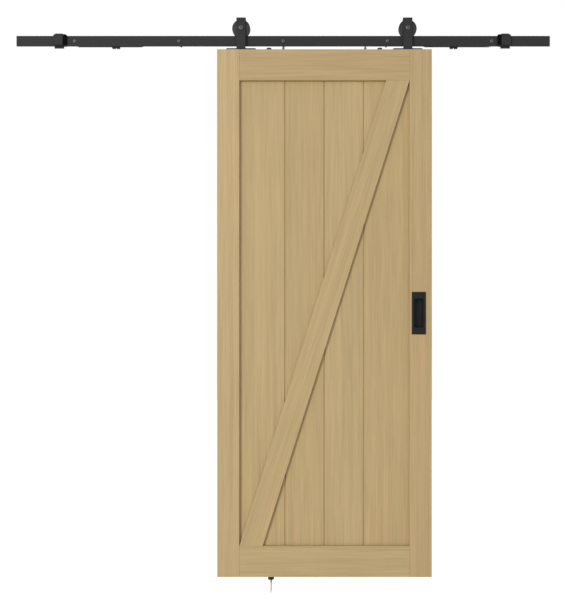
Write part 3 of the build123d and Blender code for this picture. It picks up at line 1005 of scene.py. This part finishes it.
    def dampers(self) -> None:
        """Add the damper inside each housing: a turned cylinder with end caps, and its rod to the catch."""
        near, far = self.damper_ends
        cap, step = self.damper_radius, self.cap_step
        near_cap, far_cap = near + self.cap_lengths[0], far - self.cap_lengths[1]
        profile = [
            (0, near), (cap, near), (cap, near_cap), (cap - step, near_cap + step),
            (cap - step, far_cap - step), (cap, far_cap), (cap, far), (0, far),
        ]
        middle = (0, -self.damper_depth, self.damper_height)
        for (side, sign), catch in zip(SIDES.items(), self.catch_ends):
            inside = near + self.rod_overlap
            rod = [(0, catch), (self.rod_radius, catch), (self.rod_radius, inside), (0, inside)]
            barrel = lathe([(r, sign * x) for r, x in profile], middle, Along.LEFT_TO_RIGHT, sides=40)
            shaft = lathe([(r, sign * x) for r, x in rod], middle, Along.LEFT_TO_RIGHT, sides=24)
            for name, grid, finish, slot in (
                ("damper_cylinder", barrel, HOUSING_NYLON, "black_plastic"),
                ("damper_rod", shaft, PIN_ZINC, "grey_pins"),
            ):
                made = piece(f"{side}_{name}", [grid], finish)
                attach(made, "track")

    def build(self) -> None:
        """Dress the CAD solids on the wall and add their fasteners and dampers."""
        dress("rail", RAIL_COAT)
        for side in SIDES:
            dress(f"{side}_stop", RAIL_COAT)
            dress(f"{side}_damper_housing", HOUSING_NYLON)
            dress(f"{side}_damper_catch", HOUSING_NYLON)
        self.bolts()
        self.spacers()
        self.stop_screws()
        self.buffers()
        self.dampers()


class Grain(Enum):
    """The direction that a board's grain runs in, as the turn that stands it upright."""

    UPRIGHT = 0.0
    LEVEL = math.pi / 2
    UP_TO_THE_RIGHT = -math.radians(17.5)


@dataclass
class DoorLeaf:
    """The framed plank leaf. Each board is its own timber with its own figure; its shade is partly its own
    and partly painted light.

    From board to board the figure moves by `figure_step`, so that no two boards match.
    """

    roughness: float = 0.55
    figure_step: Triple = (370.0, 110.0, 1900.0)
    # Painted light: the colours run lighter at the left stile and darker towards the right, partly the
    # boards' own tone and partly light falling off from the left.
    boards: tuple[tuple[str, Grain, str], ...] = (
        ("left_stile", Grain.UPRIGHT, "#BEA579"),
        ("plank_1", Grain.UPRIGHT, "#BAA276"),
        ("plank_2", Grain.UPRIGHT, "#B8A074"),
        ("plank_3", Grain.UPRIGHT, "#BAA277"),
        ("plank_4", Grain.UPRIGHT, "#B9A074"),
        ("right_stile", Grain.UPRIGHT, "#B79F75"),
        ("top_rail", Grain.LEVEL, "#B69D72"),
        ("bottom_rail", Grain.LEVEL, "#B9A277"),
        ("front_brace", Grain.UP_TO_THE_RIGHT, "#B9A175"),
        ("back_brace", Grain.UP_TO_THE_RIGHT, "#B89F73"),
    )

    def build(self) -> None:
        """Give each board its own pine."""
        for number, (node, grain, colour) in enumerate(self.boards):
            shift = tuple(number * step * MM for step in self.figure_step)
            pine = PlanedPine(f"planed_pine_{node}", colour, self.roughness, turn=grain.value, shift=shift)
            dress(node, pine)


@dataclass
class Hangers:
    """The strap hangers with their plates, axle bolts, wheels, weld beads and screws."""

    middles: Pair = (-163.0, 483.0)
    mid_depth: float = 33.0
    axle_height: float = 47.1
    axle_radius: float = 5.0
    axle_crown: float = 56.0
    axle_end: float = 8.5
    axle_thread: float = 22.0
    washer_radius: float = 8.0
    washer_bite: float = 0.05
    washer_ends: tuple[Pair, Pair] = ((-44.9, -42.2), (-23.8, -21.1))
    nut_across_flats: float = 16.0
    nut_bite: float = 0.6
    nut_ends: Pair = (-16.0, -10.0)
    plate_top: float = -32.2
    plate_screw_reach: float = 44.0
    plate_screw_proud: float = 0.4
    strap_half: float = 17.5
    strap_front: float = 50.0
    strap_inner: float = 45.0
    wheel_radius: float = 35.0
    wheel_half: float = 9.0
    tread_radius: float = 26.8
    tread_fillet: float = 0.8
    groove_half: float = 4.0
    groove_mouth: tuple[Pair, Pair] = ((0.4, 1.3), (1.6, 0.3))
    flange_soft: float = 1.2
    web_ends: Pair = (18.0, 29.8)
    web_slope: float = 0.8
    web_depth: float = 0.9
    hub_recess: float = 2.0
    bearing_radius: float = 13.0
    bearing_fit: float = 0.05
    bearing_races: Pair = (7.0, 11.8)
    bearing_inset: float = 0.4
    shield_inset: float = 1.0
    edge_break: float = 0.4
    bead_radius: float = 1.5
    bead_ripple: float = 0.15
    ripple_pitch: float = 2.0
    bead_corner: float = 1.0
    bead_start: float = 1.2
    bead_side_points: int = 8
    bead_end_points: int = 60

    def wheel_profile(self) -> np.ndarray:
        """Work out one wheel's profile: hub, web, round-edged flange and groove, and the same behind.

        The groove's flared mouth has two points, each so far under the rim and out of the groove's wall.

        Returns:
            A closed ring of (radius, distance from the wheel's middle).
        """
        rim, half, groove = self.wheel_radius, self.wheel_half, self.groove_half
        hub, edge, soft, fillet = self.bearing_radius, self.edge_break, self.flange_soft, self.tread_fillet
        (start, end), floor = self.web_ends, half - self.web_depth
        root = self.tread_radius + fillet
        front = np.concatenate((
            [(hub, half - self.hub_recess), (hub, half - edge), (hub + edge, half)],
            [(start, half), (start + self.web_slope, floor), (end - self.web_slope, floor), (end, half)],
            bend((rim - soft, half - soft), soft, 90, 0, steps=6),
            [(rim - under, groove + out) for under, out in self.groove_mouth],
            [(root, groove)],
            bend((root, groove - fillet), fillet, 105, 180, steps=4),
        ))
        return ring_profile(front)

    def bearing_profile(self) -> np.ndarray:
        """Work out one bearing's profile, from its inner race over its shield to its outer race.

        Returns:
            A closed ring of (radius, distance from the wheel's middle).
        """
        inner, outer = self.bearing_races
        edge = self.edge_break
        face, shield = self.wheel_half - self.bearing_inset, self.wheel_half - self.shield_inset
        front = [
            (self.axle_radius + self.bearing_fit, face), (inner, face), (inner + edge, shield),
            (outer - edge, shield), (outer, face),
            (self.bearing_radius - edge, face), (self.bearing_radius, face - edge),
        ]
        return ring_profile(np.array(front))

    def wheels(self) -> None:
        """Replace each wheel by a grooved nylon wheel with a ball bearing pressed into its hub."""
        for side, x in zip(SIDES, self.middles):
            centre = (x, -self.mid_depth, self.axle_height)
            wheel = lathe(self.wheel_profile(), centre, Along.TO_THE_WALL, sides=96)
            made = piece(f"{side}_grooved_wheel", [wheel], WHEEL_NYLON)
            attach(made, f"{side}_wheel")
            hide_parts(f"{side}_wheel")
            bearing = lathe(self.bearing_profile(), centre, Along.TO_THE_WALL, sides=72)
            hub = piece(f"{side}_wheel_bearing", [bearing], PIN_ZINC)
            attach(hub, f"{side}_wheel")

    def axles(self) -> None:
        """Replace the axle bolts by domed bolts with a threaded end, thrust washers and a nut."""
        length, point = self.axle_crown - self.axle_end, 1.0
        start = self.axle_crown - self.axle_thread
        bolt = SocketScrew(
            head_radius=9.5, head_height=6.0, socket=Socket(across_flats=5.0, depth=1.6),
            shank_radius=self.axle_radius, length=length, point=point,
            thread=Thread(start=start, end=length - point, pitch=1.5, depth=0.7),
        )
        washer_bore, nut_bore = self.axle_radius - self.washer_bite, self.axle_radius - self.nut_bite
        way, grids = Along.TO_THE_WALL, []
        for x in self.middles:
            centre = (x, 0, self.axle_height)
            grids.append(bolt.surface((x, -self.axle_crown, self.axle_height), way))
            for ends in self.washer_ends:
                grids.append(washer(self.washer_radius, washer_bore, ends, centre, way))
            grids.append(hexagon_nut(self.nut_across_flats, nut_bore, self.nut_ends, centre, way))
        made = piece("axle_bolt_sets", grids, BOLT_OXIDE)
        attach(made, "door_leaf")
        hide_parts("axle_bolts")

    def weld_beads(self) -> None:
        """Add the fillet weld that joins each strap's foot to its plate.

        The path goes round the foot's left, inner and right sides as one level line with rounded corners.
        The bead's radius along it is an even one plus a sine ripple, and 0 at both ends.
        """
        bead, soft, inner = self.bead_radius, self.bead_corner, -self.strap_inner
        reach = np.linspace(-self.strap_front + self.bead_start, inner - soft, self.bead_side_points)
        left = np.column_stack((np.full(len(reach), -self.strap_half), reach))
        corner = bend((-self.strap_half + soft, inner - soft), soft, 180, 90, steps=5)
        half = np.concatenate((left, corner[1:]))
        across = np.linspace(half[-1, 0], -half[-1, 0], self.bead_end_points)[1:-1]
        straight = np.column_stack((across, np.full(len(across), half[-1, 1])))
        flat = np.concatenate((half, straight, half[::-1] * (-1, 1)))
        travelled = np.concatenate(([0], np.cumsum(np.linalg.norm(np.diff(flat, axis=0), axis=1))))
        radius = bead + self.bead_ripple * np.sin(2 * math.pi * travelled / self.ripple_pitch)
        radius *= np.sqrt(np.clip(np.minimum(travelled, travelled[-1] - travelled) / bead, 0, 1))
        grids = []
        for x in self.middles:
            path = np.column_stack((flat[:, 0] + x, flat[:, 1], np.full(len(flat), self.plate_top)))
            grids.append(carried(path, radius))
        made = piece("strap_weld_beads", grids, RAIL_COAT, sharp=60.0)
        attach(made, "door_leaf")

    def plate_screws(self) -> None:
        """Add the two screws that hold each plate on the door's top edge, let in and a little proud."""
        screw = SocketScrew(
            head_radius=4.9, head_height=2.6, socket=Socket(across_flats=3.0, depth=0.5),
            shank_radius=2.4, length=24.0, point=4.0, form=Head.COUNTERSUNK, sides=36,
            thread=Thread(start=3.0, end=20.0, pitch=2.2, depth=0.7),
        )
        reach, crown = self.plate_screw_reach, self.plate_top + self.plate_screw_proud
        places = [x + away for x in self.middles for away in (-reach, reach)]
        grids = [screw.surface((x, -self.mid_depth, crown), Along.DOWN) for x in places]
        made = piece("plate_screws", grids, BOLT_OXIDE)
        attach(made, "door_leaf")

    def build(self) -> None:
        """Dress the straps and plates and add what they carry."""
        dress("hangers", RAIL_COAT)
        dress("hanger_plates", RAIL_COAT)
        self.wheels()
        self.axles()
        self.weld_beads()
        self.plate_screws()


@dataclass
class TopEdge:
    """The catch pins and anti-jump discs on the door's top edge."""

    door_top: float = -37.2
    disc_places: Pair = (-55.0, 375.0)
    disc_depth: float = 37.0
    disc_top: float = -28.5
    disc_radius: float = 9.75
    disc_soft: float = 2.0
    disc_edge: float = 0.6
    disc_socket: Socket = Socket(5.0, depth=4.0, drilled=0.3, mouth_depth=0.4, mouth_flare=1.07)
    disc_sides: int = 60
    foot_radius: float = 7.0
    foot_height: float = 2.0
    foot_seat: float = 0.2
    pin_places: Pair = (0.0, 320.0)
    pin_depth: float = 19.0
    pin_top: float = -17.0
    pin_radius: float = 5.0
    pin_tip_radius: float = 3.0
    pin_tip_length: float = 4.0
    pin_tip_soft: float = 1.0
    pin_step: float = 0.5
    pin_waist_depth: float = 0.4
    pin_waist_length: float = 1.0
    pin_foot_radius: float = 5.0
    pin_foot_height: float = 6.0

    def discs(self) -> None:
        """Replace the discs by moulded ones with a rounded rim and a hexagon socket."""
        height = self.disc_top - self.door_top
        foot, edge, soft = height - self.foot_height, self.disc_edge, self.disc_soft
        outline = np.concatenate((
            bend((self.disc_radius - soft, soft), soft, -90, 0),
            [(self.disc_radius, foot - edge), (self.disc_radius - edge, foot)],
            [(self.foot_radius, foot + self.foot_seat), (self.foot_radius, height), (0, height)],
        ))
        full = np.ones((1, self.disc_sides))
        rows = self.disc_socket.rows(self.disc_sides) + [(r * full, d) for r, d in outline]
        radius, along = np.concatenate([r for r, _ in rows]), np.array([[d] for _, d in rows])
        tops = [(x, -self.disc_depth, self.disc_top) for x in self.disc_places]
        grids = [turned(radius, along, top, Along.DOWN) for top in tops]
        made = piece("anti_jump_discs", grids, HOUSING_NYLON)
        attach(made, "door_leaf")
        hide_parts("jump_discs")

    def pins(self) -> None:
        """Replace the catch pins by turned ones: foot, waist, body, and a thin tip for the catch."""
        tip, body, foot = self.pin_tip_radius, self.pin_radius, self.pin_foot_radius
        soft, step, waist = self.pin_tip_soft, self.pin_step, self.pin_waist_depth
        height = self.pin_top - self.door_top
        foot_start = height - self.pin_foot_height
        waist_start = foot_start - self.pin_waist_length
        profile = np.concatenate((
            [(0.0, 0.0)],
            bend((tip - soft, soft), soft, -90, 0),
            [(tip, self.pin_tip_length - step), (body, self.pin_tip_length)],
            [(body, waist_start - waist), (body - waist, waist_start), (body - waist, foot_start)],
            [(foot - step, foot_start), (foot, foot_start + step), (foot, height), (0.0, height)],
        ))
        tops = [(x, -self.pin_depth, self.pin_top) for x in self.pin_places]
        grids = [lathe(profile, top, Along.DOWN, sides=48) for top in tops]
        made = piece("turned_catch_pins", grids, PIN_ZINC)
        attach(made, "door_leaf")
        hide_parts("catch_pins")

    def build(self) -> None:
        """Build the pins and the discs."""
        self.pins()
        self.discs()


@dataclass
class FlushPull:
    """The cast pull let into the right stile."""

    def build(self) -> None:
        """Dress the casting."""
        dress("pull_handle", PULL_COAT)


@dataclass
class FloorGuide:
    """The guide under the door, with its screws and plugs."""

    x: float = -47.0
    mid_depth: float = 33.0
    base_top: float = -2082.2
    base_height: float = 5.0
    base_soft: float = 0.8
    half_width: float = 11.75
    half_depth: float = 25.0
    end_radius: float = 11.7
    fin_half: float = 3.0
    fin_height: float = 20.0
    fin_corner: float = 1.5
    fin_soft: float = 1.2
    root: float = 2.5
    outline_sides: int = 32
    screw_depths: Pair = (17.0, 49.0)
    screw_length: float = 40.0
    screw_proud: float = 0.15
    screw_bore: float = 2.6
    plug_top: float = -2107.2
    plug_radius: float = 3.5
    plug_length: float = 34.0
    plug_rows: int = 86
    rib_pitch: float = 3.4
    rib_depth: float = 0.45
    nose_length: float = 5.0
    collar_length: float = 9.4
    collar_radius: float = 3.0
    bore_cone: float = 0.1

    def slab(self, half_depth: float, corner: float, rows: Sequence[Triple]) -> np.ndarray:
        """Carry a rounded rectangle upwards.

        Across, a point is (half width - corner) * sign + (corner - in) * cos(t). Into the room it is
        (half depth - corner + out) * sign + (corner - in) * sin(t). Each quarter turn is one corner.

        Args:
            half_depth: half the rectangle's size into the room.
            corner: the radius of its corners.
            rows: how far in the outline is, how far out its long sides are, and its height above the
                base's top.

        Returns:
            Rows by sides by three, closed at both ends.
        """
        angle = (np.arange(self.outline_sides) + 0.5) * 2 * math.pi / self.outline_sides
        sign_x, sign_y = np.sign(np.cos(angle)), np.sign(np.sin(angle))
        rings = []
        for inset, out, height in rows:
            x = sign_x * (self.half_width - corner) + (corner - inset) * np.cos(angle)
            y = sign_y * (half_depth - corner + out) + (corner - inset) * np.sin(angle)
            rings.append(np.column_stack((x, y, np.full(len(angle), height))))
        ends = [np.tile((0, 0, ring[0, 2]), (len(angle), 1)) for ring in (rings[0], rings[-1])]
        return np.array([ends[0], *rings, ends[1]]) + (self.x, -self.mid_depth, self.base_top)

    def guide(self) -> None:
        """Replace the guide by a moulded one: a base with round ends, and a fin with a root fillet."""
        low, soft, tip = -self.base_height, self.base_soft, self.fin_soft
        base = [(inset, 0, height) for inset, height in bend((soft, low + soft), soft, 270, 180, steps=4)]
        base += [(inset, 0, height) for inset, height in bend((soft, -soft), soft, 180, 90, steps=4)]
        fin = [(0, out, height) for out, height in bend((self.root, self.root), self.root, 270, 180)]
        top = bend((tip, self.fin_height - tip), tip, 180, 90, steps=5)
        fin += [(inset, 0, height) for inset, height in top]
        grids = [
            self.slab(self.half_depth, self.end_radius, base),
            self.slab(self.fin_half, self.fin_corner, fin),
        ]
        made = piece("moulded_floor_guide", grids, HOUSING_NYLON)
        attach(made, "track")
        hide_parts("floor_guide")

    def screws(self) -> None:
        """Replace the screws by countersunk ones with a wood thread and a gimlet point."""
        point = 5.0
        screw = SocketScrew(
            head_radius=4.5, head_height=2.0, socket=Socket(across_flats=3.0, depth=1.4),
            shank_radius=2.5, length=self.screw_length, point=point, form=Head.COUNTERSUNK,
            thread=Thread(start=6.0, end=self.screw_length - point, pitch=2.0, depth=0.6),
        )
        crown = self.base_top + self.screw_proud
        grids = [screw.surface((self.x, -depth, crown), Along.DOWN) for depth in self.screw_depths]
        made = piece("guide_wood_screws", grids, BOLT_OXIDE)
        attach(made, "track")
        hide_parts("floor_guide_screws")

    def plugs(self) -> None:
        """Replace the plugs by ribbed ones with a thin collar, which reaches up the screw, and a nose.

        The radius falls behind each rib by the rib depth times a saw wave of distance over pitch,
        and the nose closes as the square root of what is left of it.
        """
        along = np.linspace(0, self.plug_length, self.plug_rows)
        saw = (along / self.rib_pitch) % 1
        ribbed = self.plug_radius - self.rib_depth * saw
        left = np.clip((self.plug_length - along) / self.nose_length, 0, 1)
        reach = self.base_top - self.screw_length - self.plug_top
        profile = np.concatenate((
            [(0.0, -reach + self.bore_cone), (self.screw_bore, -reach)],
            [(self.screw_bore, -self.collar_length), (self.collar_radius, -self.collar_length)],
            [(self.collar_radius, 0.0)],
            np.column_stack((ribbed * np.sqrt(left), along)),
        ))
        tops = [(self.x, -depth, self.plug_top) for depth in self.screw_depths]
        grids = [lathe(profile, top, Along.DOWN, sides=40) for top in tops]
        made = piece("ribbed_plugs", grids, PLUG_NYLON)
        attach(made, "track")
        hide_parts("floor_guide_plugs")

    def build(self) -> None:
        """Build the guide and its fixings."""
        self.guide()
        self.screws()
        self.plugs()


@dataclass
class Studio:
    """The camera, lamps and floor, placed in metres, with the lens in millimetres.

    The picture is 565 by 600, and the camera's shifts are parts of its longer side.
    """

    eye: Triple = (0.0952, -3.273, -1.0536)
    lens: float = 50.0
    shift_x: float = -0.042
    shift_y: float = 0.0204
    floor_size: float = 14.0
    floor_squares: int = 8
    fill: float = 0.62
    key_place: Triple = (-10.4, -15.0, 2.4)
    key_target: Triple = (0.16, 0.0, -1.05)
    key_size: float = 4.4
    key_power: float = 1640.0

    def camera(self) -> None:
        """Set the camera square to the wall, at the photograph's height and distance."""
        data = bpy.data.cameras.new("camera")
        data.lens = self.lens
        data.shift_x, data.shift_y = self.shift_x, self.shift_y
        made = bpy.data.objects.new("camera", data)
        made.location = self.eye
        made.rotation_euler = (math.pi / 2, 0, 0)
        bpy.context.scene.collection.objects.link(made)
        bpy.context.scene.camera = made

    def lamps(self) -> None:
        """Set one soft key at the upper left, and an even fill from the world, which itself looks white."""
        data = bpy.data.lights.new("key", "AREA")
        data.shape, data.size, data.energy = "DISK", self.key_size, self.key_power
        made = bpy.data.objects.new("key", data)
        made.location = self.key_place
        made.rotation_euler = aimed(Vector(self.key_place), Vector(self.key_target))
        bpy.context.scene.collection.objects.link(made)
        world = bpy.data.worlds.new("studio")
        world.use_nodes = True
        tree = world.node_tree
        tree.nodes.clear()
        level = add(tree, "MapRange", {"Value": seen_directly(tree), "To Min": self.fill, "To Max": 1.0})
        sky = add(tree, "Background", {"Color": linear("#FFFFFF"), "Strength": level.outputs[0]})
        add(tree, "OutputWorld", {"Surface": sky.outputs[0]})
        bpy.context.scene.world = world

    def floor(self) -> None:
        """Lay the floor 1 mm under the object's lowest point, as a level grid of squares."""
        squares = self.floor_squares
        line = squares + 1
        steps = np.linspace(-0.5, 0.5, line) * self.floor_size
        x, y = np.meshgrid(steps, steps)
        points = np.stack((x, y, np.full_like(x, CAD_BOX[0].z - MM)), axis=-1).reshape(-1, 3)
        row, column = np.meshgrid(np.arange(squares) * line, np.arange(squares), indexing="ij")
        corner = (row + column).reshape(-1, 1)
        mesh = bpy.data.meshes.new("studio_floor")
        mesh.from_pydata(points.tolist(), [], (corner + (0, 1, line + 1, line)).tolist())
        made = bpy.data.objects.new("studio_floor", mesh)
        bpy.context.scene.collection.objects.link(made)
        mesh.materials.append(FLOOR_PAPER.material())

    def build(self) -> None:
        """Set up the picture."""
        bpy.context.scene.view_settings.view_transform = "Standard"
        self.camera()
        self.lamps()
        self.floor()


def main() -> None:
    """Build the sub-assemblies in order, from the wall to the floor."""
    logging.basicConfig(level=logging.INFO, format="%(name)s: %(message)s")
    for part in (Studio(), WallRail(), DoorLeaf(), Hangers(), TopEdge(), FlushPull(), FloorGuide()):
        part.build()
        log.info("%s done", type(part).__name__)


if __name__ == "__main__":
    main()
